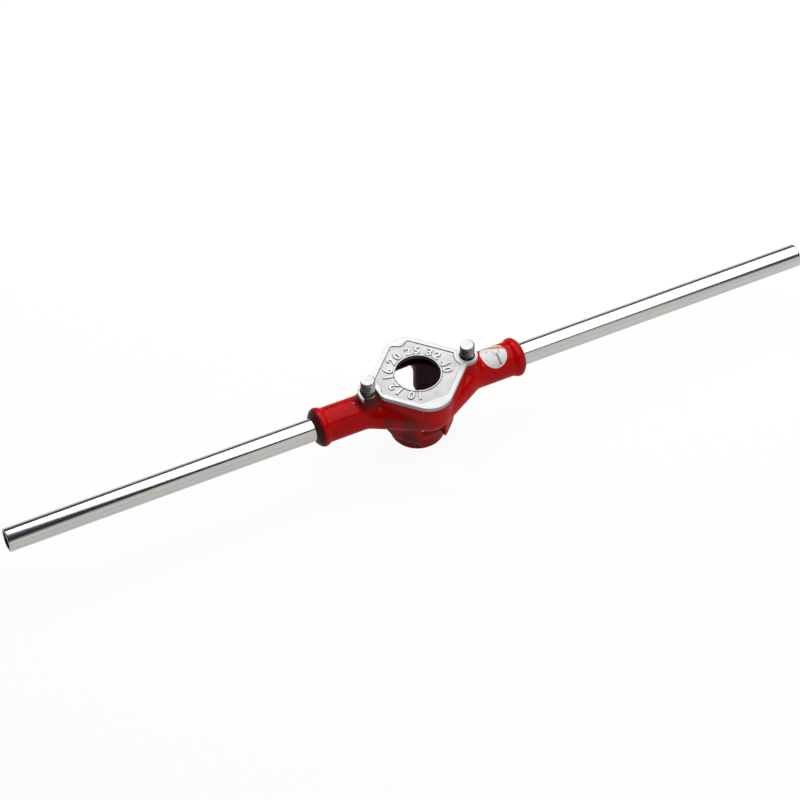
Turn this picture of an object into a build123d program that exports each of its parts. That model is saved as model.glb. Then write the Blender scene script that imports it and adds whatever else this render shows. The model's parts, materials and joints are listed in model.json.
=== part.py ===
"""Die stock: a cast body with two tube handles, two studs and a swinging cover plate.

The stock turns a round threading die round a length of conduit. The die lies in
the pocket of the casting, under the cover plate, the conduit comes up through
the guide collar below, and the chips fall out through two hooded windows. The
cover plate swings about the right stud and hooks round the left one.

Frame: millimetres, +Z up, origin on the die axis at the foot of the guide
collar, handles along X. Heights below are counted from the tube axis.
"""
import os
from math import cos, degrees, hypot, radians, sin, sqrt, tan

from build123d import *

# Handles
overall_length = 815.4
tube_diameter = 22.0
tube_wall = 2.0
socket_depth = 42.5
socket_mouth = 107.5

# Cast arms, from the housing to the rolled mouth of each socket
arm_radius = 16.6
arm_flare_reach = 6.1
flare_length = 8.0
flank_fullness = 0.06
mouth_bead_radius = 19.1
mouth_bead_width = 9.2
mouth_bead_crest = 99.7
mouth_bead_sink = 0.8
mouth_lip_radius = 13.4

# Housing: a wall under the cover plate, on a wider foot that runs out into the arms
seat_rise = 22.5
housing_drop = 11.5
housing_draft = 2.2
housing_margin = 0.7
housing_edge_radius = 6.0
round_share = 0.97
ledge_rise = 10.0
ledge_radius = 8.0

# Die pocket, chip chamber and guide collar
die_diameter = 65.0
die_depth = 16.0
die_clearance = 0.1
chamber_radius = 29.6
chamber_wall = 4.9
chamber_round_share = 0.7
chamber_drop = 35.0
chamber_base = 4.0
collar_length = 18.0
collar_radius = 26.6
collar_chamfer = 1.2
guide_radius = 22.0
guide_chamfer = 1.0
cast_radius = 3.0

# Chip windows, front and back, with a hood of the housing wall over each
window_width = 23.0
window_run_out = 0.8
window_corner = 5.0
window_rise = 3.5

# Studs, which stand off the flats of the cover plate by the room that a nut needs
stud_room = 11.4
stud_radius = 6.9
stud_neck_radius = 6.2
stud_neck_length = 6.4
stud_height = 18.8
stud_depth = 20.0
stud_chamfer = 0.9
stud_pad_radius = 10.2
stud_pad_draft = 14.0

# Cover plate
cover_flats = 79.0
cover_corner = 23.0
cover_thickness = 4.5
cover_gap = 0.05
throat_radius = 21.4
throat_lip = 1.4
pivot_clearance = 0.3
slot_clearance = 0.5
slot_sweep = 14.0
slot_corner = 10.0
hook_wall = 2.6
hook_reach = 6.5
lug_blend = 3.0
field_depth = 0.9
field_margin = 4.8
field_stud_room = 5.5
field_front = 35.3
field_notch_depth = 36.0
field_notch_width = 19.0
field_corner = 1.5

# Radial play between pieces that are driven or screwed together
press_play = 0.03

# Heights above the origin
axis_height = chamber_drop + collar_length
seat_height = axis_height + seat_rise
pocket_floor = seat_height - die_depth
housing_floor = axis_height - housing_drop
window_top = axis_height + window_rise
chamber_floor = axis_height - chamber_drop
chamber_base_top = chamber_floor + chamber_base
cover_floor = seat_height + cover_gap
cover_top = cover_floor + cover_thickness

# Derived places and radii
cover_half = cover_flats / 2
stud_offset = cover_half + stud_room
arm_flare_end = stud_offset + arm_flare_reach
tube_radius = tube_diameter / 2
socket_floor = socket_mouth - socket_depth
tube_end = overall_length / 2
pocket_radius = die_diameter / 2 + die_clearance
chamber_half = chamber_radius + chamber_wall
chamber_corner = chamber_half * chamber_round_share
chamber_corner_centre = (chamber_half - chamber_corner) * sqrt(2)
window_reach = chamber_corner_centre + chamber_corner + window_run_out
stud_spacing = 2 * stud_offset
slot_half = stud_radius + slot_clearance
slot_inside = stud_spacing - slot_half
slot_outside = stud_spacing + slot_half
lug_radius = slot_half + hook_wall
corner_centre = cover_half * sqrt(2) - cover_corner * sqrt(2)
corner_round = cover_corner - housing_margin

bead_start = mouth_bead_crest - mouth_bead_width / 2
bead_end = mouth_bead_crest + mouth_bead_width / 2

# The flank runs straight from the round of the housing corner to the arm
flank_angle = 60.0
flank_start = corner_round * cos(radians(flank_angle))
flank_half = corner_centre + corner_round * sin(radians(flank_angle))
housing_height = ledge_rise + housing_drop


def cast_section(x, half, top, drop, top_round, bottom_round, draft):
    """Face across the casting at x: a drafted block with its four edges rounded."""
    with BuildSketch(Plane.YZ.offset(x)) as section:
        with BuildLine():
            FilletPolyline(
                (half - draft, axis_height - drop),
                (half, axis_height + top),
                (-half, axis_height + top),
                (-half + draft, axis_height - drop),
                radius=(bottom_round, top_round, top_round, bottom_round),
                close=True,
            )
        make_face()
    return section.sketch


def housing_section(x):
    """Section in the round of the housing corner, front and back alike."""
    half = corner_centre + sqrt(corner_round**2 - x**2)
    return cast_section(
        x, half, ledge_rise, housing_drop, ledge_radius, housing_edge_radius, housing_draft
    )


def flank_section(side, share):
    """Section of the flank, share of the way from the housing to the round arm."""
    rest = 1 - share
    x = flank_start + share * (arm_flare_end - flank_start)
    half = flank_half - (flank_half - arm_radius) * share * (1 - flank_fullness * rest)
    top = ledge_rise + (arm_radius - ledge_rise) * share**2
    drop = housing_drop + (arm_radius - housing_drop) * share**3
    # Both rounds grow as shares of the section's own height
    arm_share = round_share * share / 2
    top_round = (top + drop) * (ledge_radius / housing_height * rest + arm_share)
    bottom_round = (top + drop) * (housing_edge_radius / housing_height * rest + arm_share)
    return cast_section(side * x, half, top, drop, top_round, bottom_round, housing_draft * rest)


def arm_section(side, x):
    """Round section of the arm."""
    edge_round = arm_radius * round_share
    return cast_section(side * x, arm_radius, arm_radius, arm_radius, edge_round, edge_round, 0)


middle_shares = (-0.75, -0.5, -0.25, 0, 0.25, 0.5, 0.75)
flank_shares = (0, 0.15, 0.3, 0.45, 0.6, 0.7, 0.8, 0.9, 1)
arm_places = (arm_flare_end + flare_length, mouth_bead_crest)
left_sections = [arm_section(-1, x) for x in reversed(arm_places)]
left_sections += [flank_section(-1, share) for share in reversed(flank_shares)]
middle_sections = [housing_section(flank_start * share) for share in middle_shares]
right_sections = [flank_section(1, share) for share in flank_shares]
right_sections += [arm_section(1, x) for x in arm_places]

# The casting: housing, arms, stud pads, chip chamber and guide collar in one
with BuildPart() as stock_body:
    loft([*left_sections, *middle_sections, *right_sections], ruled=True)

    # Wall under the cover plate
    with BuildSketch(Plane.XY.offset(housing_floor + housing_edge_radius)):
        Rectangle(2 * (cover_half - housing_margin), 2 * (cover_half - housing_margin), rotation=45)
        fillet(vertices(), corner_round)
    extrude(amount=seat_height - housing_floor - housing_edge_radius)

    # Rolled mouth of each socket
    for side in (-1, 1):
        bead_root = (side * bead_start, axis_height + arm_radius - mouth_bead_sink)
        bead_foot = (side * bead_end, axis_height + arm_radius + mouth_bead_sink)
        with BuildSketch(Plane.XZ):
            with BuildLine():
                Polyline(
                    bead_root,
                    (side * bead_start, axis_height),
                    (side * socket_mouth, axis_height),
                    (side * socket_mouth, axis_height + mouth_lip_radius),
                    bead_foot,
                )
                crest = (side * mouth_bead_crest, axis_height + mouth_bead_radius)
                ThreePointArc(bead_foot, crest, bead_root)
            make_face()
        revolve(axis=Axis((0, 0, axis_height), (1, 0, 0)))

    # Pads that the studs stand on
    for side in (-1, 1):
        with Locations((side * stud_offset, 0, axis_height)):
            Cone(
                stud_pad_radius + seat_rise * tan(radians(stud_pad_draft)),
                stud_pad_radius,
                seat_rise,
                align=(Align.CENTER, Align.CENTER, Align.MIN),
            )

    # Chip chamber, round at the sides and drawn out to a cheek on each side of the windows
    with BuildSketch(Plane.XY.offset(chamber_floor)):
        with BuildLine():
            right_round = CenterArc((0, 0), chamber_half, -45, 90)
            back_round = CenterArc((0, chamber_corner_centre), chamber_corner, 45, 90)
            left_round = CenterArc((0, 0), chamber_half, 135, 90)
            front_round = CenterArc((0, -chamber_corner_centre), chamber_corner, 225, 90)
            Line(right_round @ 1, back_round @ 0)
            Line(back_round @ 1, left_round @ 0)
            Line(left_round @ 1, front_round @ 0)
            Line(front_round @ 1, right_round @ 0)
        make_face()
    extrude(amount=housing_floor + housing_edge_radius - chamber_floor)
    fillet(faces().sort_by(Axis.Z)[0].edges(), cast_radius)

    # Guide collar, turned about the die axis
    with BuildSketch(Plane.XZ):
        with BuildLine():
            Polyline(
                (0, chamber_base_top),
                (collar_radius + cast_radius / 2, chamber_base_top),
                (collar_radius + cast_radius / 2, chamber_floor),
                (collar_radius, chamber_floor - cast_radius / 2),
                (collar_radius, collar_chamfer),
                (collar_radius - collar_chamfer, 0),
                (0, 0),
                close=True,
            )
        make_face()
    revolve(axis=Axis.Z)

    # Die pocket, chamber and guide bore
    with BuildSketch(Plane.XZ):
        with BuildLine():
            Polyline(
                (0, seat_height),
                (pocket_radius, seat_height),
                (pocket_radius, pocket_floor),
                (chamber_radius, pocket_floor),
                (chamber_radius, chamber_base_top),
                (guide_radius + guide_chamfer, chamber_base_top),
                (guide_radius, chamber_base_top - guide_chamfer),
                (guide_radius, guide_chamfer),
                (guide_radius + guide_chamfer, 0),
                (0, 0),
                close=True,
            )
        make_face()
    revolve(axis=Axis.Z, mode=Mode.SUBTRACT)

    # Chip windows, which stop under the hoods
    with BuildSketch(Plane.XZ.offset(-window_reach)):
        with Locations((0, window_top)):
            Rectangle(window_width, window_top - chamber_base_top, align=(Align.CENTER, Align.MAX))
        fillet(vertices().group_by(Axis.Y)[-1], window_corner)
    extrude(amount=2 * window_reach, mode=Mode.SUBTRACT)
    with BuildSketch(Plane.XY.offset(chamber_floor)):
        Rectangle(window_width, 2 * window_reach)
        Circle(collar_radius, mode=Mode.SUBTRACT)
    extrude(amount=chamber_base, mode=Mode.SUBTRACT)

    # Sockets of the tubes and holes of the studs
    for side in (-1, 1):
        with Locations(Plane((side * socket_mouth, 0, axis_height), z_dir=(side, 0, 0))):
            Hole(tube_radius + press_play, depth=socket_depth)
        with Locations(Plane((side * stud_offset, 0, seat_height), z_dir=(0, 0, 1))):
            Hole(stud_radius + press_play, depth=stud_depth)

stock_body.part.label = "stock_body"

# Cover plate: it turns about the right stud, and a hook with its mouth in front holds the left one
with BuildPart() as cover_plate:
    with BuildSketch(Plane.XY.offset(cover_floor)) as outline:
        Rectangle(cover_flats, cover_flats, rotation=45)
        fillet(vertices().group_by(Axis.Y)[0] + vertices().group_by(Axis.Y)[-1], cover_corner)
        with Locations((-stud_offset, 0), (stud_offset, 0)):
            Circle(lug_radius)
        lug_roots = vertices().filter_by(
            lambda point: abs(hypot(abs(point.X) - stud_offset, point.Y) - lug_radius) < press_play
        )
        fillet(lug_roots, lug_blend)
        pivot = (stud_offset, 0)
        with BuildLine() as slot:
            inner = CenterArc(pivot, slot_inside, 180, slot_sweep)
            outer = CenterArc(pivot, slot_outside, 180, slot_sweep)
            Line(inner @ 0, outer @ 0)
            Line(inner @ 1, outer @ 1)
        make_face(mode=Mode.SUBTRACT)
        with Locations((-stud_offset, 0)):
            Circle(slot_half, mode=Mode.SUBTRACT)
        # Corner that the mouth of the slot leaves on the plate's own edge
        slot_mouth = vertices().filter_by(
            lambda point: abs(hypot(point.X - stud_offset, point.Y) - slot_inside) < press_play
            and point.Y < -stud_radius
        )
        fillet(slot_mouth, slot_corner)
        hook_arc = CenterArc(pivot, slot_outside + hook_wall / 2, 180, degrees(hook_reach / stud_spacing))
        SlotArc(hook_arc, hook_wall)
        with Locations(pivot):
            Circle(stud_radius + pivot_clearance, mode=Mode.SUBTRACT)
        Circle(throat_radius, mode=Mode.SUBTRACT)
    extrude(amount=cover_thickness)

    # Sunk field that carries the size numbers
    field_half = cover_half - field_margin
    with BuildSketch(Plane.XY.offset(cover_top)) as field:
        Rectangle(2 * field_half, 2 * field_half, rotation=45)
        with Locations((0, -field_front)):
            Rectangle(2 * cover_flats, cover_flats, align=(Align.CENTER, Align.MAX), mode=Mode.SUBTRACT)
        with BuildLine():
            Polyline(
                (0, field_notch_depth),
                (field_notch_width, field_notch_depth + field_notch_width / 2),
                (0, cover_flats),
                (-field_notch_width, field_notch_depth + field_notch_width / 2),
                close=True,
            )
        make_face(mode=Mode.SUBTRACT)
        with Locations((-stud_offset, 0), (stud_offset, 0)):
            Circle(stud_radius + field_stud_room, mode=Mode.SUBTRACT)
        fillet(vertices(), field_corner)
        Circle(throat_radius + throat_lip, mode=Mode.SUBTRACT)
    extrude(amount=-field_depth, mode=Mode.SUBTRACT)

cover_plate.part.label = "cover_plate"

os.makedirs("parts", exist_ok=True)
export_step(stock_body.part, "parts/stock_body.step")
export_step(cover_plate.part, "parts/cover_plate.step")

for name, side in (("left", -1), ("right", 1)):
    # Threaded stud, screwed into its pad, with a plain neck at the cover plate
    with BuildPart() as stud:
        with BuildSketch(Plane.XZ):
            with BuildLine():
                Polyline(
                    (side * stud_offset, seat_height - stud_depth),
                    (side * stud_offset + stud_radius, seat_height - stud_depth),
                    (side * stud_offset + stud_radius, seat_height),
                    (side * stud_offset + stud_neck_radius, seat_height),
                    (side * stud_offset + stud_neck_radius, seat_height + stud_neck_length),
                    (side * stud_offset + stud_radius, seat_height + stud_neck_length + stud_chamfer),
                    (side * stud_offset + stud_radius, seat_height + stud_height - stud_chamfer),
                    (side * stud_offset + stud_radius - stud_chamfer, seat_height + stud_height),
                    (side * stud_offset, seat_height + stud_height),
                    close=True,
                )
            make_face()
        revolve(axis=Axis((side * stud_offset, 0, 0), (0, 0, 1)))
    stud.part.label = f"{name}_stud"
    export_step(stud.part, f"parts/{name}_stud.step")

    # Handle tube, open at its outer end and driven home in the socket
    with BuildPart() as tube:
        with BuildSketch(Plane((side * socket_floor, 0, axis_height), z_dir=(side, 0, 0))):
            Circle(tube_radius)
            Circle(tube_radius - tube_wall, mode=Mode.SUBTRACT)
        extrude(amount=tube_end - socket_floor)
    tube.part.label = f"{name}_handle_tube"
    export_step(tube.part, f"parts/{name}_handle_tube.step")
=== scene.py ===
"""Looks of the die stock: enamelled casting, zinc cover plate, bright tubes and threaded studs."""

import json
import logging
import math
from collections.abc import Callable
from dataclasses import dataclass
from enum import Enum

import bmesh
import bpy
from mathutils import Matrix, Vector
from mathutils.bvhtree import BVHTree

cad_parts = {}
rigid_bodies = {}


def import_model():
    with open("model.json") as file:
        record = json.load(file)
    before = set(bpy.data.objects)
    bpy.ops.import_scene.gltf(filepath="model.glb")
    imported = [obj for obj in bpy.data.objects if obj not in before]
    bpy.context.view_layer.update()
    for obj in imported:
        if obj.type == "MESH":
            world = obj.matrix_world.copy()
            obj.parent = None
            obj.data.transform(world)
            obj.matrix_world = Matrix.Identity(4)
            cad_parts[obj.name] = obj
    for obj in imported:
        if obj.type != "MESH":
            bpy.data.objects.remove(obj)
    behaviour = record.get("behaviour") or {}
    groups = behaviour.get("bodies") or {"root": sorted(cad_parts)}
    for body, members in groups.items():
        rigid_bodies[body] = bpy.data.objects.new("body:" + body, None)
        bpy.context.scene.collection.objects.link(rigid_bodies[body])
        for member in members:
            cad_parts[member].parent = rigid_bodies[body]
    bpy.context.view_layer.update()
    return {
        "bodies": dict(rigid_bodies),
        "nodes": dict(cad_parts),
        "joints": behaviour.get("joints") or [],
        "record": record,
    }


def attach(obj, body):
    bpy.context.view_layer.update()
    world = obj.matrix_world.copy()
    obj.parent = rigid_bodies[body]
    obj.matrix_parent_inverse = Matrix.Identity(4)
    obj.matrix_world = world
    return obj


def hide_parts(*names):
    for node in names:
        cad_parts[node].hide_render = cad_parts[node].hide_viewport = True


logging.basicConfig(level=logging.INFO, format="%(name)s: %(message)s")
log = logging.getLogger("die_stock")

Colour = tuple[float, float, float, float]
Span = tuple[float, float]
Triple = tuple[float, float, float]
Mesh = bmesh.types.BMesh
Piece = bpy.types.Object
MM = 0.001
TURN = 2 * math.pi
FAR = 1000.0

# Vertices this near are one, in metres; edges that turn less than this, in radians, are smooth
WELD = 2e-6
TOUCH = 1e-7
SMOOTH = 0.6

# Places that the pieces share, in millimetres above the foot of the guide collar
AXIS_HEIGHT = 53.0
SEAT_HEIGHT = 75.5
COVER_TOP = 80.05
POCKET_FLOOR = 59.5

# Measures across, in millimetres from the die axis
POCKET_RADIUS = 32.6
CHAMBER_RADIUS = 29.6
STUD_OFFSET = 50.9


class Side(Enum):
    """The two ends of the stock."""

    LEFT = -1
    RIGHT = 1

    @property
    def label(self) -> str:
        """The word that the pieces of this side start with."""
        return self.name.lower()


def arithmetic(operation: str) -> tuple[Callable, Callable]:
    """Makes the methods of one of a Wire's operators.

    Args:
        operation: the Math node's operation, such as MULTIPLY.

    Returns:
        The method for a Wire that comes first, and that for a number that comes first.
    """

    def wire_first(self: "Wire", other: "Wire | float") -> "Wire":
        """The operation on this and the other."""
        return self.apply(operation, other)

    def number_first(self: "Wire", other: float) -> "Wire":
        """The operation on a number and this."""
        return self.apply(operation, first=other)

    return wire_first, number_first


class Wire:
    """An output socket that takes part in Python arithmetic by adding Math nodes."""

    def __init__(self, recipe: "Recipe", socket: bpy.types.NodeSocket) -> None:
        """Wraps a socket.

        Args:
            recipe: the node tree that the socket is in.
            socket: the output socket.
        """
        self.recipe = recipe
        self.socket = socket

    def apply(
        self, operation: str, *others: "Wire | float", first: "float | None" = None
    ) -> "Wire":
        """Adds one Math node.

        Args:
            operation: the node's operation, such as MULTIPLY.
            others: the inputs that follow this one.
            first: a number that comes before this one.

        Returns:
            The node's value.
        """
        values = (self, *others) if first is None else (first, self, *others)
        return self.recipe.node("Math", {"operation": operation}, dict(enumerate(values)))

    __add__, __radd__ = arithmetic("ADD")
    __sub__, __rsub__ = arithmetic("SUBTRACT")
    __mul__, __rmul__ = arithmetic("MULTIPLY")
    __truediv__ = arithmetic("DIVIDE")[0]
    __lt__ = arithmetic("LESS_THAN")[0]
    __gt__ = arithmetic("GREATER_THAN")[0]

    def above(self, least: float) -> "Wire":
        """Lifts a value between 0 and 1 to one between least and 1."""
        return least + self * (1 - least)


class Recipe:
    """A node tree that is written as expressions."""

    def __init__(self, tree: bpy.types.NodeTree) -> None:
        """Takes over an empty node tree."""
        self.tree = tree
        self.tree.nodes.clear()

    def node(
        self,
        kind: str,
        settings: dict[str, object] | None = None,
        sockets: dict[int | str, object] | None = None,
        out: int | str = 0,
    ) -> Wire:
        """Adds any node.

        Args:
            kind: the node's type, without its ShaderNode prefix.
            settings: its properties, set first; stops are those of a ramp.
            sockets: its inputs by name or number, each a value or a Wire.
            out: the output wanted, by name or number.

        Returns:
            That output.
        """
        made = self.tree.nodes.new("ShaderNode" + kind)
        for name, value in (settings or {}).items():
            if name == "stops":
                ramp = made.color_ramp.elements
                while len(ramp) < len(value):
                    ramp.new(1.0)
                for element, (place, colour) in zip(ramp, value):
                    element.position = place
                    element.color = colour
            else:
                setattr(made, name, value)
        for key, value in (sockets or {}).items():
            if isinstance(value, Wire):
                self.tree.links.new(value.socket, made.inputs[key])
            else:
                made.inputs[key].default_value = value
        return Wire(self, made.outputs[out] if len(made.outputs) else None)

    def mix(self, share: Wire | float, first: Wire | Colour, second: Wire | Colour) -> Wire:
        """Blends two colours.

        Args:
            share: how much of the second.
            first: the colour at 0.
            second: the colour at 1.

        Returns:
            The blended colour.
        """
        return self.node("Mix", {"data_type": "RGBA"}, {0: share, 6: first, 7: second}, 2)

    def total(self, shares: tuple[float, ...], *masks: Wire) -> Wire:
        """A base value and what each mask adds to it.

        Args:
            shares: the base value, then the share of each mask.
            masks: the masks.

        Returns:
            The sum.
        """
        value = shares[0]
        for share, mask in zip(shares[1:], masks):
            value = value + mask * share
        return value

    def place(self) -> Wire:
        """Object coordinates, in metres, which are the row frame's."""
        return self.node("TexCoord", out="Object")

    def axes(self, vector: Wire) -> tuple[Wire, Wire, Wire]:
        """The three parts of a vector."""
        split = self.node("SeparateXYZ", None, {0: vector})
        parts = split.socket.node.outputs
        return tuple(Wire(self, part) for part in parts)

    def noise(self, vector: Wire, grain_mm: float, detail: float = 2.0, rough: float = 0.5) -> Wire:
        """Noise whose patches are about grain_mm across.

        Args:
            vector: coordinates in metres.
            grain_mm: size of a patch.
            detail: octaves.
            rough: weight of the finer octaves.

        Returns:
            A value round 0.5.
        """
        scale = 1 / (grain_mm * MM)
        sockets = {"Vector": vector, "Scale": scale, "Detail": detail, "Roughness": rough}
        return self.node("TexNoise", None, sockets)

    def step(self, value: Wire, low: float, high: float) -> Wire:
        """Rises smoothly from 0 at low to 1 at high.

        Args:
            value: what is compared.
            low: where the rise starts.
            high: where it ends.

        Returns:
            The risen value.
        """
        sockets = {"Value": value, "From Min": low, "From Max": high}
        return self.node("MapRange", {"interpolation_type": "SMOOTHSTEP"}, sockets)

    def rise(self, value: Wire, span_mm: Span) -> Wire:
        """Rises smoothly from 0 to 1 over a span in millimetres."""
        return self.step(value, span_mm[0] * MM, span_mm[1] * MM)

    def length(self, first: Wire, second: Wire) -> Wire:
        """How far a point is from an axis, by its two coordinates across it."""
        return (first * first + second * second).apply("SQRT")

    def waves(self, value: Wire, pitch_mm: float) -> Wire:
        """A sine that repeats at each pitch."""
        return (value * (TURN / (pitch_mm * MM))).apply("SINE")

    def bump(
        self, height: Wire, depth_mm: float, strength: float = 1.0, below: Wire | None = None
    ) -> Wire:
        """Normals of a rough surface.

        Args:
            height: the relief, from 0 to 1.
            depth_mm: how deep 1 is.
            strength: share of it that shows.
            below: normals of a coarser relief under it.

        Returns:
            The normals.
        """
        sockets = {"Height": height, "Distance": depth_mm * MM, "Strength": strength}
        if below:
            sockets["Normal"] = below
        return self.node("Bump", None, sockets)


@dataclass(frozen=True)
class Patches:
    """Patches cut out of noise, with soft edges between two of its levels."""

    grain_mm: float
    low: float
    high: float
    detail: float = 3.0
    rough: float = 0.5

    def mask(self, recipe: Recipe, vector: Wire) -> Wire:
        """1 in the patches, else 0."""
        noise = recipe.noise(vector, self.grain_mm, self.detail, self.rough)
        return recipe.step(noise, self.low, self.high)


@dataclass(frozen=True)
class Relief:
    """A rough surface, which is noise with a depth."""

    grain_mm: float
    depth_mm: float
    strength: float
    detail: float = 2.0
    rough: float = 0.5

    def height(self, recipe: Recipe, vector: Wire) -> Wire:
        """The relief, round 0.5."""
        return recipe.noise(vector, self.grain_mm, self.detail, self.rough)

    def normals(self, recipe: Recipe, vector: Wire, below: Wire | None = None) -> Wire:
        """Normals of the relief, over those of a coarser one."""
        height = self.height(recipe, vector)
        return recipe.bump(height, self.depth_mm, self.strength, below)


@dataclass(frozen=True)
class Zone:
    """A round place about an axis, in millimetres."""

    radius: float
    low: float
    high: float = FAR

    def mask(self, reach: Wire, along: Wire) -> Wire:
        """1 in the zone, by the distance from its axis and the place along it, else 0."""
        return (reach < self.radius * MM) * (along > self.low * MM) * (along < self.high * MM)

    def holds(self, reach: float, along: float) -> bool:
        """Whether a point is in the zone."""
        return reach < self.radius and self.low < along < self.high


@dataclass(frozen=True)
class Bar:
    """A printed bar, by its edges as shares of the label's width and height."""

    left: float
    right: float
    foot: float
    top: float

    def mask(self, across: Wire, along: Wire) -> Wire:
        """1 on the bar, else 0."""
        in_width = (across > self.left) * (across < self.right)
        return in_width * (along > self.foot) * (along < self.top)


@dataclass(frozen=True)
class Finish:
    """A surface finish with the constants that every finish sets.

    Roughness, metallic and shares are a base value, then what each mask adds to it.
    """

    title: str
    slot: str
    specular: float = 0.5
    coat_roughness: float = 0.05

    def varied(self, recipe: Recipe) -> dict[str, object]:
        """What changes over the surface, by the shader's socket; each finish has its own."""
        raise NotImplementedError

    def constants(self) -> dict[str, object]:
        """What is the same all over the surface, by the shader's socket."""
        return {"Specular IOR Level": self.specular, "Coat Roughness": self.coat_roughness}

    def material(self) -> bpy.types.Material:
        """Makes the material, once for each title.

        Returns:
            The material.
        """
        known = bpy.data.materials.get(self.title)
        if known:
            return known
        made = bpy.data.materials.new(self.title)
        made.use_nodes = True
        recipe = Recipe(made.node_tree)
        sockets = {**self.constants(), **self.varied(recipe)}
        shader = recipe.node("BsdfPrincipled", None, sockets)
        recipe.node("OutputMaterial", None, {"Surface": shader})
        return made


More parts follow.
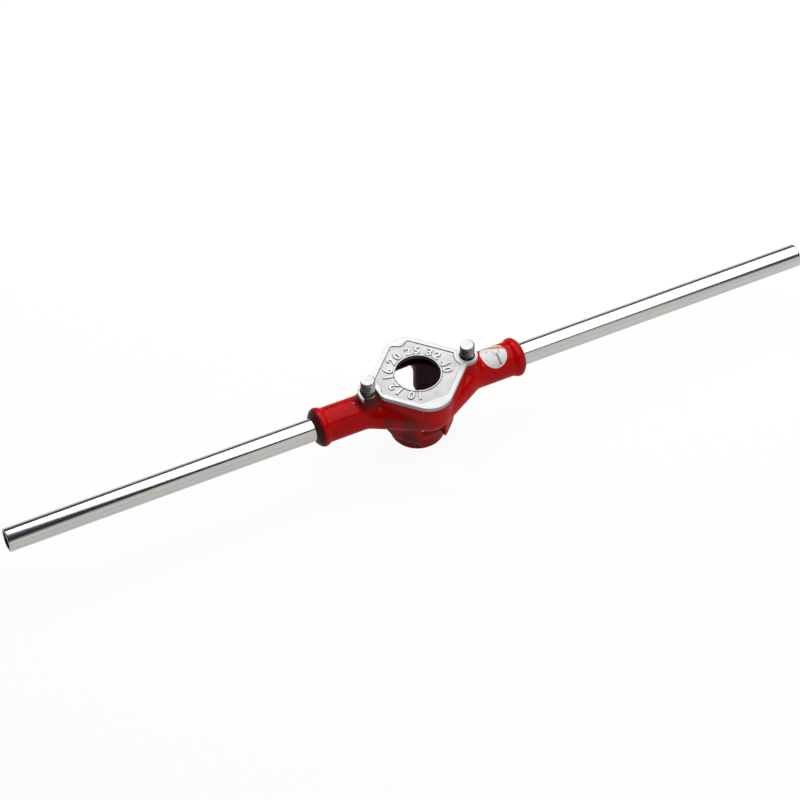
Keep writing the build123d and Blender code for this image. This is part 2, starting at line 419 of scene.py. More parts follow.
@dataclass(frozen=True)
class RedEnamel(Finish):
    """Glossy enamel over a sand casting, with the turned pocket and bore left bare.

    A Span that ends in an axis is where a mask rises from 0 to 1, in millimetres.
    """

    specular: float = 0.02
    coat_roughness: float = 0.06
    coat: float = 0.2
    roughness: Triple = (0.36, 0.14, 0.16)
    gloss_mm: float = 7.0
    colour: Colour = (0.62, 0.0013, 0.0025, 1)
    deep: Colour = (0.5, 0.0013, 0.0018, 1)
    dot: Colour = (0.08, 0.002, 0.003, 1)
    # Painted shade and dark reflection, laid in streaks low on the collar and on the left flank
    painted_streak_shade: Colour = (0.095, 0.028, 0.031, 1)
    # Painted shade on the arms' end faces, and painted shadow round the left stud's foot
    painted_end_shade: Colour = (0.035, 0.018, 0.018, 1)
    # Painted shade inside the chamber and the sockets
    painted_chamber_shade: Colour = (0.16, 0.13, 0.15, 1)
    iron: Colour = (0.06, 0.056, 0.054, 1)
    oil: Colour = (0.025, 0.023, 0.022, 1)
    pools: Patches = Patches(24.0, 0.35, 0.72)
    specks: Patches = Patches(0.9, 0.66, 0.78, 2.0)
    shade_streaks: Patches = Patches(10.0, 0.42, 0.6)
    wave: Relief = Relief(17.0, 1.1, 0.5, 1.0)
    sand: Relief = Relief(1.3, 0.05, 0.45, 2.0, 0.6)
    oil_mm: float = 6.0
    rings: Relief = Relief(0.35, 0.01, 0.4)
    pool_share: float = 0.55
    speck_share: float = 0.12
    end_shade_share: float = 0.88
    chamber_shade_least: float = 0.85
    pocket: Zone = Zone(POCKET_RADIUS + 0.35, POCKET_FLOOR - 0.4)
    guide: Zone = Zone(23.2, -FAR, 21.6)
    # The chamber, where shade is painted in
    chamber: Zone = Zone(CHAMBER_RADIUS + 4.1, 24.5, POCKET_FLOOR)
    socket: Zone = Zone(12.6, 60.0)
    # Where the painted shade and dark reflections fall on the collar, flank and rims, and the
    # painted shadow at the left stud
    collar_z: Span = (38.0, 30.0)
    collar_x: Span = (20.0, -20.0)
    collar_least: float = 0.35
    flank_x: Span = (-4.0, -18.0)
    flank_y: Span = (-19.0, -27.0)
    flank_z: Span = (66.0, 57.0)
    flank_share: float = 0.8
    shade_streak_stretch: Triple = (1, 1, 0.1)
    shade_streak_shares: Span = (0.4, 0.55)
    rim_x: Span = (101.0, 103.0)
    rim_least: float = 0.4
    stud_reach: Span = (10.0, 17.0)
    stud_z: Span = (58.0, 72.0)
    stud_share: float = 0.9

    def varied(self, recipe: Recipe) -> dict[str, object]:
        """Enamel that pools, sand under it and bare iron where a tool has cut, with painted shade,
        shadow and dark reflections.
        """
        place = recipe.place()
        bare, chamber_shaded = self.bare_and_shaded(recipe, place)
        streak_shaded, end_and_foot_shaded = self.painted_shades(recipe, place)
        pool = self.pools.mask(recipe, place)
        paint = recipe.mix(pool * self.pool_share, self.colour, self.deep)
        # Painted shade and dark reflection, in streaks, low on the collar and on the left flank
        paint = recipe.mix(streak_shaded, paint, self.painted_streak_shade)
        # Painted shade on the arms' end faces and painted shadow round the left stud's foot
        paint = recipe.mix(end_and_foot_shaded * self.end_shade_share, paint, self.painted_end_shade)
        paint = recipe.mix(self.specks.mask(recipe, place) * self.speck_share, paint, self.dot)
        # Painted shade inside the chamber and the sockets
        paint = recipe.mix(chamber_shaded * pool.above(self.chamber_shade_least), paint, self.painted_chamber_shade)
        oily = recipe.mix(recipe.noise(place, self.oil_mm, 3.0), self.iron, self.oil)
        sand = self.sand.normals(recipe, place, self.wave.normals(recipe, place))
        turning = recipe.waves(recipe.axes(place)[2], self.rings.grain_mm)
        rings = recipe.bump(turning, self.rings.depth_mm, self.rings.strength)
        gloss = recipe.noise(place, self.gloss_mm, 3.0)
        normals = recipe.node("Mix", {"data_type": "VECTOR"}, {0: bare, 4: sand, 5: rings}, 1)
        return {
            "Base Color": recipe.mix(bare, paint, oily),
            "Roughness": recipe.total(self.roughness, gloss, bare),
            "Metallic": bare,
            "Coat Weight": (1 - bare) * (1 - chamber_shaded) * self.coat,
            "Normal": normals,
        }

    def bare_and_shaded(self, recipe: Recipe, place: Wire) -> tuple[Wire, Wire]:
        """Where there is no enamel, and where shade is painted on it.

        Args:
            recipe: the node tree.
            place: Object coordinates.

        Returns:
            1 on the turned iron of the die pocket and the guide bore, and 1 for painted shade in
            the chamber, in the sockets and on their mouths.
        """
        x, y, z = recipe.axes(place)
        radius = recipe.length(x, y)
        bare = self.pocket.mask(radius, z).apply("MAXIMUM", self.guide.mask(radius, z))
        round_axis = recipe.length(y, z - AXIS_HEIGHT * MM)
        in_socket = self.socket.mask(round_axis, x.apply("ABSOLUTE"))
        # The chamber and the sockets get painted shade
        return bare, self.chamber.mask(radius, z).apply("MAXIMUM", in_socket)

    def painted_shades(self, recipe: Recipe, place: Wire) -> tuple[Wire, Wire]:
        """Where shade, shadow and dark reflections are painted on the enamel.

        Args:
            recipe: the node tree.
            place: Object coordinates.

        Returns:
            The share of painted shade and dark reflection, in streaks on the guide collar and the
            left flank, and that of painted shade on the arms' rims and painted shadow round the
            left stud's foot.
        """
        x, y, z = recipe.axes(place)
        drawn = recipe.node("Mapping", None, {"Vector": place, "Scale": self.shade_streak_stretch})
        shade_streaks = recipe.total(self.shade_streak_shares, self.shade_streaks.mask(recipe, drawn))
        leftward = recipe.rise(x, self.collar_x).above(self.collar_least)
        # Painted shade and dark reflection, low on the collar and darker towards its left
        on_collar = recipe.rise(z, self.collar_z) * leftward
        # Painted shade on the lower front-left flank
        in_plan = recipe.rise(x, self.flank_x) * recipe.rise(y, self.flank_y)
        on_flank = in_plan * recipe.rise(z, self.flank_z) * self.flank_share
        out = x.apply("ABSOLUTE")
        on_left = x < 0.0
        # Painted shade on the arms' end faces, weaker on the right
        on_rim = recipe.rise(out, self.rim_x) * on_left.above(self.rim_least)
        from_stud = recipe.length(out - STUD_OFFSET * MM, y)
        # Painted shadow round the left stud's foot
        at_foot = (1 - recipe.rise(from_stud, self.stud_reach)) * recipe.rise(z, self.stud_z)
        at_foot = at_foot * on_left * self.stud_share
        return on_collar.apply("MAXIMUM", on_flank) * shade_streaks, on_rim.apply("MAXIMUM", at_foot)


@dataclass(frozen=True)
class ZincCasting(Finish):
    """Pale matt zinc on a cast plate, darker in the sunk field's grain."""

    colour: Colour = (0.79, 0.79, 0.775, 1)
    grey: Colour = (0.38, 0.38, 0.375, 1)
    pit: Colour = (0.3, 0.3, 0.3, 1)
    # Colour of the painted shade on upright walls, the field's edge and round the numbers
    grime: Colour = (0.08, 0.08, 0.08, 1)
    clouds: Patches = Patches(11.0, 0.3, 0.75, 4.0, 0.6)
    pits: Patches = Patches(1.6, 0.63, 0.72)
    swell: Relief = Relief(5.0, 0.12, 0.35)
    grain: Relief = Relief(0.8, 0.035, 0.5, 3.0, 0.6)
    field_z: Span = (COVER_TOP - 0.25, COVER_TOP - 0.8)
    grey_shares: Triple = (0.0, 0.2, 0.3)
    pit_shares: Span = (0.1, 0.35)
    plate_shade_share: float = 0.9
    roughness: Triple = (0.42, 0.12, 0.06)
    metallic: Span = (0.3, 0.1)

    def varied(self, recipe: Recipe) -> dict[str, object]:
        """Cloudy plating over a fine-grained casting, with painted shade on its upright walls."""
        place = recipe.place()
        sunk = recipe.rise(recipe.axes(place)[2], self.field_z)
        cloud, pits = self.clouds.mask(recipe, place), self.pits.mask(recipe, place)
        plate_shaded = recipe.node("Attribute", {"attribute_name": "grime"}, out="Fac")
        worn = recipe.total(self.grey_shares, cloud, sunk)
        tint = recipe.mix(worn, self.colour, self.grey)
        tint = recipe.mix(pits * recipe.total(self.pit_shares, sunk), tint, self.pit)
        # Painted shade on upright walls, on the sunk field's edge and as a dark film round the
        # numbers
        tint = recipe.mix(plate_shaded * self.plate_shade_share, tint, self.grime)
        return {
            "Base Color": tint,
            "Roughness": recipe.total(self.roughness, cloud, sunk),
            "Metallic": recipe.total(self.metallic, cloud),
            "Normal": self.grain.normals(recipe, place, self.swell.normals(recipe, place)),
        }


@dataclass(frozen=True)
class BrightZinc(Finish):
    """Bright zinc on drawn tube, with faint lines along it."""

    colour: Colour = (0.76, 0.75, 0.72, 1)
    blue: Colour = (0.68, 0.70, 0.72, 1)
    clouds: Patches = Patches(35.0, 0.3, 0.7)
    scuffs: Patches = Patches(3.0, 0.6, 0.75, 4.0, 0.65)
    line_stretch: Triple = (0.02, 1, 1)
    lines: Relief = Relief(0.5, 0.004, 0.3, 3.0, 0.6)
    blue_share: float = 0.5
    roughness: Triple = (0.1, 0.06, 0.05)

    def varied(self, recipe: Recipe) -> dict[str, object]:
        """Drawing lines along the tube and a faint passivation tint."""
        place = recipe.place()
        drawn = recipe.node("Mapping", None, {"Vector": place, "Scale": self.line_stretch})
        lines = self.lines.height(recipe, drawn)
        tint = self.clouds.mask(recipe, place) * self.blue_share
        scuffed = self.scuffs.mask(recipe, place)
        return {
            "Base Color": recipe.mix(tint, self.colour, self.blue),
            "Roughness": recipe.total(self.roughness, lines, scuffed),
            "Metallic": 1.0,
            "Normal": recipe.bump(lines, self.lines.depth_mm, self.lines.strength),
        }


@dataclass(frozen=True)
class StudSteel(Finish):
    """Dark rolled thread under a pale turned top with a centre mark."""

    side_colour: Colour = (0.46, 0.45, 0.45, 1)
    top_colour: Colour = (0.92, 0.92, 0.91, 1)
    oil_colour: Colour = (0.08, 0.076, 0.075, 1)
    # Painted shade in the thread's roots and at the neck
    thread_root_shade: Colour = (0.02, 0.019, 0.019, 1)
    mark_colour: Colour = (0.45, 0.45, 0.45, 1)
    centre_mm: float = STUD_OFFSET
    top_z: Span = (94.1, 94.24)
    mark_reach: Span = (0.35, 0.8)
    root_reach: Span = (5.85, 6.5)
    oil: Patches = Patches(2.5, 0.35, 0.7)
    oiled: float = 0.0
    oil_share: float = 0.35
    thread_root_shade_share: float = 0.85
    ring_mm: float = 0.55
    mark_shares: Triple = (0.0, 0.12, 0.6)
    roughness: Triple = (0.36, 0.1, 0.08)
    metallic: Span = (0.9, -0.75)
    depth_mm: float = 0.02
    strength: float = 0.35

    def varied(self, recipe: Recipe) -> dict[str, object]:
        """Turning rings on the top, oil in the thread, and painted shade in the thread's roots and
        at the neck.
        """
        place = recipe.place()
        x, y, z = recipe.axes(place)
        radius = recipe.length(x - self.centre_mm * MM, y)
        on_top = recipe.rise(z, self.top_z)
        in_mark = 1 - recipe.rise(radius, self.mark_reach)
        in_root = (1 - recipe.rise(radius, self.root_reach)) * (1 - on_top)
        rings = recipe.waves(radius, self.ring_mm) * 0.5 + 0.5
        oil = self.oil.mask(recipe, place)
        wet = recipe.total((self.oiled, self.oil_share), oil)
        side = recipe.mix(wet, self.side_colour, self.oil_colour)
        # Painted shade in the thread's roots and at the neck
        side = recipe.mix(in_root * self.thread_root_shade_share, side, self.thread_root_shade)
        marked = recipe.total(self.mark_shares, rings, in_mark)
        top = recipe.mix(marked, self.top_colour, self.mark_colour)
        relief = rings * on_top + oil * (1 - on_top)
        return {
            "Base Color": recipe.mix(on_top, side, top),
            "Roughness": recipe.total(self.roughness, oil, on_top),
            "Metallic": recipe.total(self.metallic, on_top),
            "Normal": recipe.bump(relief, self.depth_mm, self.strength),
        }


@dataclass(frozen=True)
class LabelPaper(Finish):
    """Glossy white paper with an orange band and grey bars, and no words."""

    white: Colour = (0.84, 0.84, 0.83, 1)
    orange: Colour = (0.62, 0.19, 0.035, 1)
    pale: Colour = (0.86, 0.68, 0.52, 1)
    ink: Colour = (0.12, 0.125, 0.14, 1)
    band_slope: float = 0.48
    band_edge: Span = (1.0, 1.03)
    band_fade: Span = (1.05, 1.24)
    block: Bar = Bar(0.56, 0.66, 0.08, 0.5)
    block_rows: float = 13.0
    row_share: float = 0.86
    block_share: float = 0.85
    bars: tuple[Bar, ...] = (
        Bar(0.48, 0.52, 0.4, 0.66),
        Bar(0.71, 0.76, 0.46, 0.62),
        Bar(0.25, 0.32, 0.62, 0.7),
    )
    bar_share: float = 0.5
    stroke_slope: float = 1.25
    stroke_place: float = 0.53
    stroke_half: float = 0.022
    stroke_ends: Span = (0.1, 0.23)
    cloud_mm: float = 2.0
    cloud_share: float = 0.08
    roughness: Span = (0.28, 0.1)

    def varied(self, recipe: Recipe) -> dict[str, object]:
        """The band and the bars, on the label's own map."""
        across, along, _ = recipe.axes(recipe.node("UVMap", {"uv_map": "print"}))
        slant = along + across * self.band_slope
        band = recipe.step(slant, *self.band_edge)
        strip = recipe.mix(recipe.step(slant, *self.band_fade), self.orange, self.pale)
        rows = (along * self.block_rows).apply("FRACT") < self.row_share
        block = self.block.mask(across, along) * rows
        aside = (along + across * self.stroke_slope - self.stroke_place).apply("ABSOLUTE")
        start, end = self.stroke_ends
        light = (aside < self.stroke_half) * (across > start) * (across < end)
        for bar in self.bars:
            light = bar.mask(across, along).apply("MAXIMUM", light)
        print_share = (light * self.bar_share).apply("MAXIMUM", block * self.block_share)
        cloud = recipe.noise(recipe.place(), self.cloud_mm, 2.0) * self.cloud_share
        paper = recipe.mix(cloud, self.white, self.ink)
        return {
            "Base Color": recipe.mix(band, recipe.mix(print_share, paper, self.ink), strip),
            "Roughness": recipe.total(self.roughness, print_share),
            "Metallic": 0.0,
        }


def finish_mesh(bm: Mesh, name: str, smooth_below: float = SMOOTH) -> Piece:
    """Makes an object at the origin from a bmesh, smooth but for its sharp edges.

    Args:
        bm: the mesh, which is freed.
        name: the piece's name.
        smooth_below: edges that turn less than this, in radians, are smooth.

    Returns:
        The object, linked to the scene.
    """
    for face in bm.faces:
        face.smooth = True
    for edge in bm.edges:
        edge.smooth = len(edge.link_faces) == 2 and edge.calc_face_angle(0.0) < smooth_below
    mesh = bpy.data.meshes.new(name)
    bm.to_mesh(mesh)
    bm.free()
    made = bpy.data.objects.new(name, mesh)
    bpy.context.scene.collection.objects.link(made)
    return made


def turned(outline: list[tuple[float, float]], steps: int) -> Mesh:
    """Spins an outline about Z.

    Args:
        outline: radius and height of each point, in millimetres, round the section.
        steps: facets round the circle.

    Returns:
        The closed mesh.
    """
    bm = bmesh.new()
    points = [bm.verts.new((radius * MM, 0, height * MM)) for radius, height in outline]
    edges = [bm.edges.new(pair) for pair in zip(points, points[1:])]
    if outline[0][0] > 0:
        edges.append(bm.edges.new((points[-1], points[0])))
    about = {"cent": (0, 0, 0), "axis": (0, 0, 1), "angle": TURN, "steps": steps}
    bmesh.ops.spin(bm, geom=points + edges, use_merge=True, **about)
    bmesh.ops.remove_doubles(bm, verts=bm.verts, dist=WELD)
    bmesh.ops.recalc_face_normals(bm, faces=bm.faces)
    return bm


def settle(
    bm: Mesh, name: str, body: str, finish: Finish, node: str = "", smooth_below: float = SMOOTH
) -> Piece:
    """Makes a piece, dresses it and sets it on its body.

    Args:
        bm: the mesh, which is freed.
        name: the piece's name.
        body: the CAD body that it rides on.
        finish: what it is finished in.
        node: the CAD node that it stands for, if it stands for one.
        smooth_below: edges that turn less than this, in radians, are smooth.

    Returns:
        The piece.
    """
    piece = finish_mesh(bm, name, smooth_below)
    piece.data.materials.clear()
    piece.data.materials.append(finish.material())
    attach(piece, body)
    if node:
        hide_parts(node)
    log.info("%s rides on %s with %d faces", piece.name, body, len(piece.data.polygons))
    return piece


@dataclass
class Casting:
    """The enamelled casting, with the soft edges of a sand mould."""

    frame: dict
    voxel_mm: float = 0.95
    rounding: int = 7
    crease_rounding: int = 26
    machined_rounding: int = 1
    smoothing: float = 0.5
    pocket: Zone = Zone(POCKET_RADIUS + 1.2, POCKET_FLOOR - 1.2)
    guide: Zone = Zone(23.4, -FAR, 22.4)
    socket: Zone = Zone(12.2, 62.0)
    seat_reach_mm: float = 0.7
    crease_start_mm: float = POCKET_RADIUS + 3
    crease_end_mm: float = 74.0
    crease_foot_mm: float = 44.0
    crease_top_mm: float = SEAT_HEIGHT - 2.2

    def build(self) -> Piece:
        """Remeshes a copy of the CAD node and rounds what the mould rounded.

        Returns:
            The piece.
        """
        source = bmesh.new()
        source.from_mesh(self.frame["nodes"]["stock_body"].data)
        bmesh.ops.remove_doubles(source, verts=source.verts, dist=WELD)
        rough = finish_mesh(source, "casting_blank")
        modifier = rough.modifiers.new("voxels", "REMESH")
        modifier.mode = "VOXEL"
        modifier.voxel_size = self.voxel_mm * MM
        graph = bpy.context.evaluated_depsgraph_get()
        solid = bpy.data.meshes.new_from_object(rough.evaluated_get(graph))
        bpy.data.objects.remove(rough)
        bm = bmesh.new()
        bm.from_mesh(solid)
        self.round_edges(bm)
        finish = RedEnamel("red_enamel_cast", "red_enamel")
        return settle(bm, "casting", "stock", finish, "stock_body", math.pi)

    def round_edges(self, bm: Mesh) -> None:
        """Smooths the cast faces well, their creases most of all, and the machined ones hardly.

        Args:
            bm: the remeshed casting.
        """
        cast = [vert for vert in bm.verts if not self.is_machined(vert.co / MM)]
        self.smooth(bm, cast, self.rounding)
        creased = [vert for vert in cast if self.is_creased(vert.co / MM)]
        self.smooth(bm, creased, self.crease_rounding)
        self.smooth(bm, list(bm.verts), self.machined_rounding)

    def smooth(self, bm: Mesh, verts: list[bmesh.types.BMVert], rounds: int) -> None:
        """Moves vertices part of the way to their neighbours.

        Args:
            bm: the remeshed casting.
            verts: the vertices to move.
            rounds: how many times.
        """
        axes = {"use_axis_x": True, "use_axis_y": True, "use_axis_z": True}
        for _ in range(rounds):
            bmesh.ops.smooth_vert(bm, verts=verts, factor=self.smoothing, **axes)

    def is_machined(self, at: Vector) -> bool:
        """True in the pocket, the guide bore, the sockets and the face that carries the plate.

        Args:
            at: a point, in millimetres.

        Returns:
            Whether a tool cut that face.
        """
        radius = math.hypot(at.x, at.y)
        in_bore = self.pocket.holds(radius, at.z) or self.guide.holds(radius, at.z)
        in_socket = self.socket.holds(math.hypot(at.y, at.z - AXIS_HEIGHT), abs(at.x))
        return in_bore or in_socket or at.z > SEAT_HEIGHT - self.seat_reach_mm

    def is_creased(self, at: Vector) -> bool:
        """True where the arms, the flanks and the stud pads run into each other.

        Args:
            at: a point, in millimetres.

        Returns:
            Whether the mould has a wide round there.
        """
        outside = math.hypot(at.x, at.y) > self.crease_start_mm
        between = self.crease_foot_mm < at.z < self.crease_top_mm
        return outside and between and abs(at.x) < self.crease_end_mm


@dataclass
class CoverPlate:
    """The zinc cover plate, with eased edges and raised size numbers.

    Painted shade is kept as a value on each face, which the finish reads.
    """

    frame: dict
    finish: Finish = ZincCasting("zinc_cast_plate", "zinc_casting")
    ease_mm: float = 0.38
    field_ease_mm: float = 0.3
    ease_segments: int = 3
    flat_angle: float = 0.01
    sharp_angle: float = 0.9
    sizes: str = "10 12 16 20 25 32 40"
    first_angle: float = 249.0
    pitch_angle: float = -16.6
    gap_share: float = 0.5
    baseline_mm: float = 23.7
    digit_mm: float = 9.0
    font_height: float = 0.72
    relief_mm: float = 0.85
    relief_round_mm: float = 0.1
    stroke_mm: float = 0.22
    film_mm: float = 0.04
    film_border_mm: float = 0.62
    field_depth_mm: float = 0.9
    slack_mm: float = 0.05
    throat_mm: float = 21.4
    throat_slack_mm: float = 0.3
    steep: float = 0.5
    steep_digit: float = 0.9
    # Shares of painted shade: inner walls, outer walls, the dark film round each digit (painted
    # shadow) and the field's edge rounds
    inner_wall_shade: float = 1.0
    outer_wall_shade: float = 0.3
    film_shade: float = 0.85
    field_rim_shade: float = 0.75

    def build(self) -> Piece:
        """Eases the edges of a copy of the CAD node.

        Returns:
            The plate.
        """
        bm = bmesh.new()
        bm.from_mesh(self.frame["nodes"]["cover_plate"].data)
        bmesh.ops.remove_doubles(bm, verts=bm.verts, dist=WELD)
        bmesh.ops.dissolve_limit(bm, angle_limit=self.flat_angle, verts=bm.verts, edges=bm.edges)
        self.mark_plate_shade(bm, self.steep)
        paired = [edge for edge in bm.edges if len(edge.link_faces) == 2]
        sharp = [edge for edge in paired if edge.calc_face_angle() > self.sharp_angle]
        field = [edge for edge in sharp if self.on_field(edge)]
        outer = [edge for edge in sharp if not self.on_field(edge)]
        self.ease(bm, outer, self.ease_mm)
        rim = self.ease(bm, [edge for edge in field if edge.is_valid], self.field_ease_mm)
        # The rounds of the sunk field's edge carry painted shade
        layer = bm.faces.layers.float["grime"]
        for face in rim:
            face[layer] = self.field_rim_shade
        return settle(bm, "hooked_cover", "cover", self.finish, "cover_plate")

    @property
    def field_floor(self) -> float:
        """Height of the sunk field, in millimetres."""
        return COVER_TOP - self.field_depth_mm

    def above_field(self, face: bmesh.types.BMFace) -> bool:
        """True for a face that reaches no lower than the sunk field."""
        lowest = min(vert.co.z for vert in face.verts)
        return lowest > (self.field_floor - self.slack_mm) * MM

    def on_field(self, edge: bmesh.types.BMEdge) -> bool:
        """True for the edges of the sunk field's low wall."""
        walls = [face for face in edge.link_faces if abs(face.normal.z) < self.steep]
        return any(self.above_field(wall) for wall in walls)

    def mark_plate_shade(self, bm: Mesh, steep: float) -> None:
        """Marks painted shade on the upright walls, most of all those of the field, the numbers and
        the throat.

        Args:
            bm: the mesh.
            steep: faces whose normal rises less than this are marked.
        """
        layer = bm.faces.layers.float.new("grime")
        bm.normal_update()
        for face in bm.faces:
            centre = face.calc_center_median() / MM
            in_throat = math.hypot(centre.x, centre.y) < self.throat_mm + self.throat_slack_mm
            inside = self.above_field(face) or in_throat
            share = self.inner_wall_shade if inside else self.outer_wall_shade
            face[layer] = share if abs(face.normal.z) < steep else 0.0

    def ease(
        self, bm: Mesh, edges: list[bmesh.types.BMEdge], width_mm: float
    ) -> list[bmesh.types.BMFace]:
        """Rounds edges.

        Args:
            bm: the plate.
            edges: the edges to round.
            width_mm: how far the round reaches from each.

        Returns:
            The faces of the rounds.
        """
        rounds = bmesh.ops.bevel(
            bm,
            geom=edges,
            offset=width_mm * MM,
            offset_type="OFFSET",
            affect="EDGES",
            segments=self.ease_segments,
            profile=0.5,
            material=-1,
            clamp_overlap=True,
        )
        return rounds["faces"]

    def numbers(self) -> Piece:
        """Raised size numbers round the throat, tops outward.

        Returns:
            The numbers, as one piece.
        """
        bm = bmesh.new()
        # Each digit stands on a wider thin dark film, which is painted shadow round its foot
        film = (self.stroke_mm + self.film_border_mm, self.film_mm, 0.0)
        relief = (self.stroke_mm, self.relief_mm, self.relief_round_mm)
        lift = Matrix.Translation((0, self.baseline_mm * MM, self.field_floor * MM))
        place = 0.0
        for digit in self.sizes:
            if digit == " ":
                place += self.gap_share
                continue
            angle = math.radians(self.first_angle + self.pitch_angle * place)
            place += 1
            out = Matrix.Rotation(angle - math.pi / 2, 4, "Z")
            for measures in (film, relief):
                mesh = self.digit_mesh(digit, *measures)
                mesh.transform(out @ lift)
                bm.from_mesh(mesh)
                bpy.data.meshes.remove(mesh)
        self.mark_plate_shade(bm, self.steep_digit)
        layer = bm.faces.layers.float["grime"]
        # The thin film round each digit's foot is painted shadow
        film_top = (self.field_floor + self.film_mm + self.slack_mm) * MM
        for face in bm.faces:
            if max(vert.co.z for vert in face.verts) < film_top:
                face[layer] = self.film_shade
        return settle(bm, "size_numbers", "cover", self.finish)

    def digit_mesh(
        self, digit: str, stroke_mm: float, height_mm: float, round_mm: float
    ) -> bpy.types.Mesh:
        """One raised digit, or the film of painted shadow round it, at the origin.

        Args:
            digit: the character.
            stroke_mm: how far its strokes are thickened.
            height_mm: how high it stands.
            round_mm: how far its edges are rounded.

        Returns:
            Its mesh, standing on Z 0.
        """
        curve = bpy.data.curves.new("digit", "FONT")
        curve.body = digit
        curve.align_x = "CENTER"
        curve.size = self.digit_mm * MM / self.font_height
        curve.offset = stroke_mm * MM
        curve.extrude = height_mm * MM / 2
        curve.bevel_depth = round_mm * MM
        curve.bevel_resolution = 1
        curve.resolution_u = 5
        text = bpy.data.objects.new("digit", curve)
        bpy.context.scene.collection.objects.link(text)
        graph = bpy.context.evaluated_depsgraph_get()
        mesh = bpy.data.meshes.new_from_object(text.evaluated_get(graph))
        bpy.data.objects.remove(text)
        mesh.transform(Matrix.Translation((0, 0, height_mm * MM / 2)))
        return mesh


@dataclass
class Stud:
    """A stud with a rolled thread above its neck."""

    side: Side
    pitch_mm: float = 2.6
    crest_mm: float = 6.88
    root_mm: float = 5.7
    neck_mm: float = 6.1
    neck_step_mm: float = 0.2
    shank_foot_mm: float = 55.5
    thread_foot_mm: float = 81.6
    top_mm: float = 94.3
    flank_shares: tuple[float, ...] = (0.15, 0.42, 0.58, 0.85)
    spare_turns: int = 2
    chamfer_mm: float = 0.35
    foot_slope: float = 0.8
    weld_mm: float = 0.005
    right_oil: float = 0.45
    steps: int = 64

    def build(self) -> Piece:
        """Joins the threaded part to the neck and the shank.

        Returns:
            The piece.
        """
        bm = self.thread()
        foot, top = self.shank_foot_mm, self.thread_foot_mm + self.neck_step_mm
        crest = [(self.crest_mm, foot), (self.crest_mm, SEAT_HEIGHT)]
        neck = [(self.neck_mm, SEAT_HEIGHT + self.neck_step_mm), (self.neck_mm, top)]
        shank = turned([(0, foot), *crest, *neck, (0, top)], self.steps)
        mesh = bpy.data.meshes.new("shank")
        shank.to_mesh(mesh)
        shank.free()
        bm.from_mesh(mesh)
        bpy.data.meshes.remove(mesh)
        centre_mm = self.side.value * STUD_OFFSET
        bmesh.ops.translate(bm, verts=bm.verts, vec=(centre_mm * MM, 0, 0))
        label = self.side.label
        oiled = self.right_oil if self.side is Side.RIGHT else 0.0
        finish = StudSteel(f"stud_steel_{label}", "stud_steel", centre_mm=centre_mm, oiled=oiled)
        return settle(bm, f"{label}_threaded_stud", "stock", finish, f"{label}_stud")

    def thread(self) -> Mesh:
        """Winds the thread's section up the stud, then cuts and chamfers its ends.

        Returns:
            The closed thread.
        """
        bm = bmesh.new()
        root, crest = self.root_mm, self.crest_mm
        section = tuple(zip((0.0, *self.flank_shares), (root, root, crest, crest, root)))
        foot = self.thread_foot_mm - self.spare_turns * self.pitch_mm
        turns = int((self.top_mm - foot) / self.pitch_mm) + self.spare_turns
        points = [
            bm.verts.new((radius * MM, 0, (foot + (turn + share) * self.pitch_mm) * MM))
            for turn in range(turns)
            for share, radius in section
        ]
        edges = [bm.edges.new(pair) for pair in zip(points, points[1:])]
        bmesh.ops.spin(
            bm,
            geom=points + edges,
            cent=(0, 0, 0),
            axis=(0, 0, 1),
            dvec=(0, 0, self.pitch_mm * MM / self.steps),
            angle=TURN,
            steps=self.steps,
        )
        bmesh.ops.remove_doubles(bm, verts=bm.verts, dist=self.weld_mm * MM)
        for height, direction in ((self.thread_foot_mm, -1), (self.top_mm, 1)):
            cut = bmesh.ops.bisect_plane(
                bm,
                geom=list(bm.verts) + list(bm.edges) + list(bm.faces),
                dist=TOUCH,
                plane_co=(0, 0, height * MM),
                plane_no=(0, 0, direction),
                clear_outer=True,
            )
            rim = [item for item in cut["geom_cut"] if isinstance(item, bmesh.types.BMEdge)]
            bmesh.ops.contextual_create(bm, geom=rim)
        for vert in bm.verts:
            self.chamfer(vert)
        bmesh.ops.recalc_face_normals(bm, faces=bm.faces)
        return bm

    def chamfer(self, vert: bmesh.types.BMVert) -> None:
        """Draws a vertex in to the cone at either end of the thread.

        Args:
            vert: the vertex.
        """
        height = vert.co.z / MM
        limit = min(
            self.crest_mm - self.chamfer_mm + (self.top_mm - height),
            self.neck_mm + (height - self.thread_foot_mm) * self.foot_slope,
        )
        radius = math.hypot(vert.co.x, vert.co.y) / MM
        if radius > limit:
            vert.co.x *= limit / radius
            vert.co.y *= limit / radius


@dataclass
class HandleTube:
    """A drawn tube with eased rims.

    A ring of points near each end keeps the shading of the rims off the long walls.
    """

    side: Side
    radius_mm: float = 11.0
    wall_mm: float = 2.0
    inner_end_mm: float = 65.0
    outer_end_mm: float = 407.7
    ease_mm: float = 0.4
    corner_share: float = 0.3
    ring_mm: float = 1.0
    steps: int = 96

    def build(self) -> Piece:
        """Turns the tube and lays it along the axis of its socket.

        Returns:
            The piece.
        """
        outer, inner, ease = self.radius_mm, self.radius_mm - self.wall_mm, self.ease_mm
        low, high = self.inner_end_mm, self.outer_end_mm
        corner = ease * self.corner_share
        near, far = low + ease, high - ease
        near_ring, far_ring = near + self.ring_mm, far - self.ring_mm
        outside = [(outer, height) for height in (near, near_ring, far_ring, far)]
        rim = [(outer - corner, high - corner), (outer - ease, high), (inner + ease, high)]
        inside = [(inner, height) for height in (far, far_ring, near_ring, near)]
        foot = [(inner + ease, low), (outer - ease, low)]
        bm = turned(outside + rim + inside + foot, self.steps)
        turn = Matrix.Rotation(self.side.value * math.pi / 2, 4, "Y")
        lift = Matrix.Translation((0, 0, AXIS_HEIGHT * MM))
        bmesh.ops.transform(bm, verts=bm.verts, matrix=lift @ turn)
        node = f"{self.side.label}_handle_tube"
        finish = BrightZinc("bright_zinc_tube", "bright_zinc")
        return settle(bm, f"{node}_drawn", "stock", finish, node)


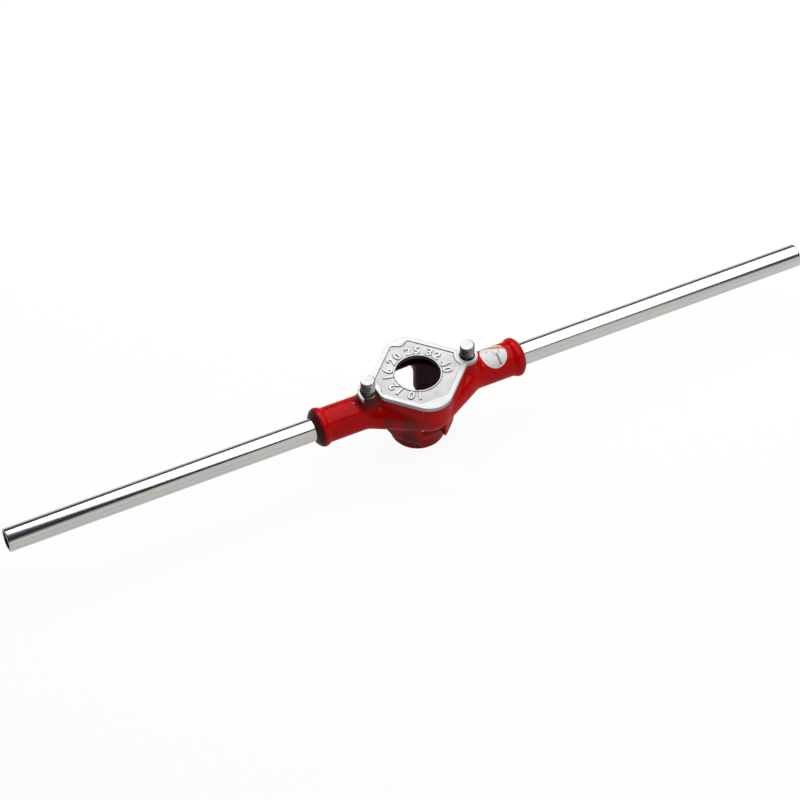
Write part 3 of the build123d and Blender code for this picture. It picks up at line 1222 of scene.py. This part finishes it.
@dataclass
class ArmLabel:
    """An oval paper label laid on the top of the right arm."""

    centre_x_mm: float = 77.9
    centre_angle: float = 4.5
    half_width_mm: float = 12.6
    half_arc: float = 50.0
    thickness_mm: float = 0.1
    glue_mm: float = 0.06
    reach_mm: float = 30.0
    arm_radius_mm: float = 16.2
    cells: int = 44

    def build(self, casting: Piece) -> Piece:
        """Presses a round patch of grid on to the casting.

        Args:
            casting: what it is stuck to.

        Returns:
            The piece.
        """
        verts = [vert.co.copy() for vert in casting.data.vertices]
        faces = [tuple(face.vertices) for face in casting.data.polygons]
        skin = BVHTree.FromPolygons(verts, faces)
        bm = bmesh.new()
        bmesh.ops.create_grid(bm, x_segments=self.cells, y_segments=self.cells, size=1.0)
        layer = bm.loops.layers.uv.new("print")
        for vert in bm.verts:
            u, v = vert.co.x, vert.co.y
            vert.co.x = u * math.sqrt(1 - v * v / 2)
            vert.co.y = v * math.sqrt(1 - u * u / 2)
        for face in bm.faces:
            for loop in face.loops:
                loop[layer].uv = (loop.vert.co.x * 0.5 + 0.5, loop.vert.co.y * 0.5 + 0.5)
        for vert in bm.verts:
            vert.co = self.pressed(vert.co.x, vert.co.y, skin)
        bmesh.ops.recalc_face_normals(bm, faces=bm.faces)
        bmesh.ops.solidify(bm, geom=list(bm.faces), thickness=self.thickness_mm * MM)
        return settle(bm, "arm_label", "stock", LabelPaper("label_paper", "red_enamel"))

    def pressed(self, across: float, along: float, skin: BVHTree) -> Vector:
        """The place of a point of the patch on the arm.

        Args:
            across: from -1 to 1 along the arm.
            along: from -1 at the front to 1 at the back.
            skin: the casting's surface.

        Returns:
            The place, in metres.
        """
        x = (self.centre_x_mm + across * self.half_width_mm) * MM
        angle = math.radians(self.centre_angle - along * self.half_arc)
        out = Vector((0, -math.sin(angle), math.cos(angle)))
        axis = Vector((x, 0, AXIS_HEIGHT * MM))
        hit = skin.ray_cast(axis + out * self.reach_mm * MM, -out)[0]
        on_skin = hit if hit else axis + out * self.arm_radius_mm * MM
        return on_skin + out * (self.glue_mm + self.thickness_mm / 2) * MM


@dataclass(frozen=True)
class Lamp:
    """A round lamp over the stock that looks straight down, in metres."""

    name: str
    place: Span
    rise: float
    size: Span
    watts: float

    def hang(self) -> None:
        """Adds the lamp to the scene."""
        data = bpy.data.lights.new(self.name, "AREA")
        data.shape = "ELLIPSE"
        data.size, data.size_y = self.size
        data.energy = self.watts
        lamp = bpy.data.objects.new(self.name, data)
        lamp.location = (*self.place, AXIS_HEIGHT * MM + self.rise)
        bpy.context.scene.collection.objects.link(lamp)


@dataclass
class Studio:
    """The pale floor, the soft lamps and the camera at the photograph's angle.

    The room's edges are angles from straight up, in degrees towards the front or the back.
    """

    azimuth: float = -25.48
    elevation: float = 49.44
    distance: float = 2.622
    lens: float = 126.6
    sensor: float = 36.0
    clip: Span = (0.05, 60.0)
    target: Triple = (-0.0182, 0, 0.0502)
    lamps: tuple[Lamp, ...] = (
        Lamp("softbox", (0.62, 0.5), 1.0, (1.84, 2.54), 19.0),
        Lamp("spot", (-0.1, 0.75), 0.95, (0.5, 0.3), 4.4),
    )
    floor_half: float = 9.0
    floor_colour: Colour = (0.86, 0.86, 0.86, 1)
    floor_glow: Span = (1.02, -0.36)
    floor_shares: Triple = (0.0, 0.92, 0.7)
    wall_middle: float = 0.27
    wall_spread: float = 0.125
    wall_curve: float = 15.0
    wall_foot: float = 45.0
    wall_foot_limit: float = 66.0
    wall_edge: Span = (-1.5, 2.5)
    ceiling_fade: Span = (12.0, 42.0)
    far_edge: Span = (60.0, 72.0)
    side_edge: Span = (-0.08, -0.4)
    dim_ceiling: Colour = (0.04, 0.062, 0.08, 1)
    dark_ceiling: Colour = (0.018, 0.021, 0.025, 1)
    pale_wall: Colour = (0.68, 0.665, 0.63, 1)
    far_wall: Colour = (0.08, 0.08, 0.085, 1)
    side_wall: Colour = (0.06, 0.055, 0.06, 1)
    white: Colour = (1, 1, 1, 1)

    def build(self) -> None:
        """Sets up everything that isn't part of the object."""
        self.floor()
        self.world()
        for lamp in self.lamps:
            lamp.hang()
        self.camera()
        bpy.context.scene.view_settings.view_transform = "Standard"

    def floor(self) -> None:
        """A wide pale floor that the camera sees as nearly white."""
        bm = bmesh.new()
        bmesh.ops.create_grid(bm, x_segments=1, y_segments=1, size=self.floor_half)
        piece = finish_mesh(bm, "studio_floor")
        made = bpy.data.materials.new("studio_floor")
        made.use_nodes = True
        recipe = Recipe(made.node_tree)
        seen = self.seen_directly(recipe)
        glossy = recipe.node("LightPath", out="Is Glossy Ray")
        lit = recipe.node("BsdfDiffuse", None, {"Color": self.floor_colour})
        strength = recipe.total(self.floor_glow, glossy)
        glow = recipe.node("Emission", None, {"Color": self.white, "Strength": strength})
        share = recipe.total(self.floor_shares, seen, glossy)
        mixed = recipe.node("MixShader", None, {0: share, 1: lit, 2: glow})
        recipe.node("OutputMaterial", None, {"Surface": mixed})
        piece.data.materials.append(made)

    @staticmethod
    def seen_directly(recipe: Recipe) -> Wire:
        """1 for camera and transmission rays, else 0."""
        through = recipe.node("LightPath", out="Is Transmission Ray")
        return recipe.node("LightPath", out="Is Camera Ray").apply("MAXIMUM", through)

    def world(self) -> None:
        """White where it is seen, and a pale studio with a dim ceiling for the stock."""
        world = bpy.data.worlds.new("studio")
        bpy.context.scene.world = world
        world.use_nodes = True
        recipe = Recipe(world.node_tree)
        x, y, z = recipe.axes(recipe.node("TexCoord", out="Generated"))
        front = (y * -1).apply("ARCTAN2", z) * (360 / TURN)
        aside = (x - self.wall_middle) / self.wall_spread
        aside = aside * aside
        wall_foot = aside * aside * self.wall_curve + self.wall_foot
        wall_foot = wall_foot.apply("MINIMUM", self.wall_foot_limit)
        in_front = recipe.step(front, *self.ceiling_fade)
        ceiling = recipe.mix(in_front, self.dim_ceiling, self.dark_ceiling)
        room = recipe.mix(recipe.step(front - wall_foot, *self.wall_edge), ceiling, self.pale_wall)
        room = recipe.mix(recipe.step(front * -1, *self.far_edge), room, self.far_wall)
        room = recipe.mix(recipe.step(x, *self.side_edge), room, self.side_wall)
        seen = recipe.mix(self.seen_directly(recipe), room, self.white)
        back = recipe.node("Background", None, {"Color": seen, "Strength": 1.0})
        recipe.node("OutputWorld", None, {"Surface": back})

    def camera(self) -> None:
        """The camera that was fitted to the photograph."""
        turn, rise = math.radians(self.azimuth), math.radians(self.elevation)
        level = math.cos(rise)
        back = Vector((math.sin(turn) * level, -math.cos(turn) * level, math.sin(rise)))
        data = bpy.data.cameras.new("camera")
        data.lens = self.lens
        data.sensor_width = self.sensor
        data.clip_start, data.clip_end = self.clip
        camera = bpy.data.objects.new("camera", data)
        camera.rotation_mode = "QUATERNION"
        camera.location = Vector(self.target) + back * self.distance
        camera.rotation_quaternion = (-back).to_track_quat("-Z", "Y")
        bpy.context.scene.collection.objects.link(camera)
        bpy.context.scene.camera = camera


def main() -> None:
    """Builds every piece round the frame, then the studio."""
    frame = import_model()
    casting = Casting(frame).build()
    plate = CoverPlate(frame)
    plate.build()
    plate.numbers()
    for side in Side:
        Stud(side).build()
        HandleTube(side).build()
    ArmLabel().build(casting)
    Studio().build()
    bpy.context.view_layer.update()


if __name__ == "__main__":
    main()
